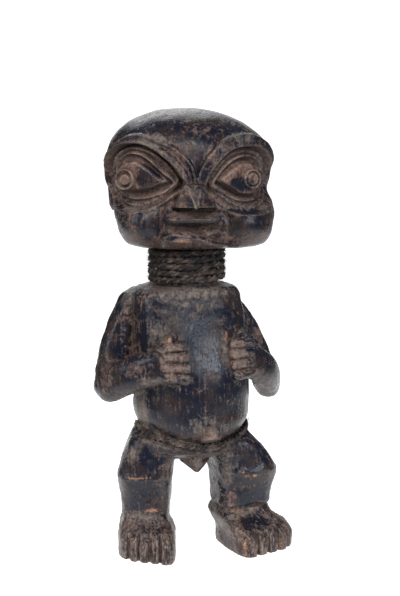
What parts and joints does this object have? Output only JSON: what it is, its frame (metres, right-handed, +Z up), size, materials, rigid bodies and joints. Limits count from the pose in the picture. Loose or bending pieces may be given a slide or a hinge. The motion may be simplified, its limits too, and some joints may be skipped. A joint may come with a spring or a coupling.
{
  "type": "mambila figure",
  "caption": "Standing dark wood figure with a domed head, ringed tubular eyes, puffed cheeks, hands on its belly and bent legs, with fibre ropes wound round its neck and tied round its hips.",
  "frame": {"origin": "on the ground, under the middle of the whole figure's box", "axes": "+Z up, the figure faces -Y, and its left hand is on +X"},
  "size_m": [0.1915, 0.1302, 0.4295],
  "materials": {
    "carved_wood": "dark polished patina, with dust in the hollows",
    "fibre_rope": "rough twisted plant fibre, dirty brown"
  },
  "bodies": {
    "root": {"figure": "carved_wood", "neck_rope": "fibre_rope", "hip_rope": "fibre_rope"}
  },
  "joints": []
}
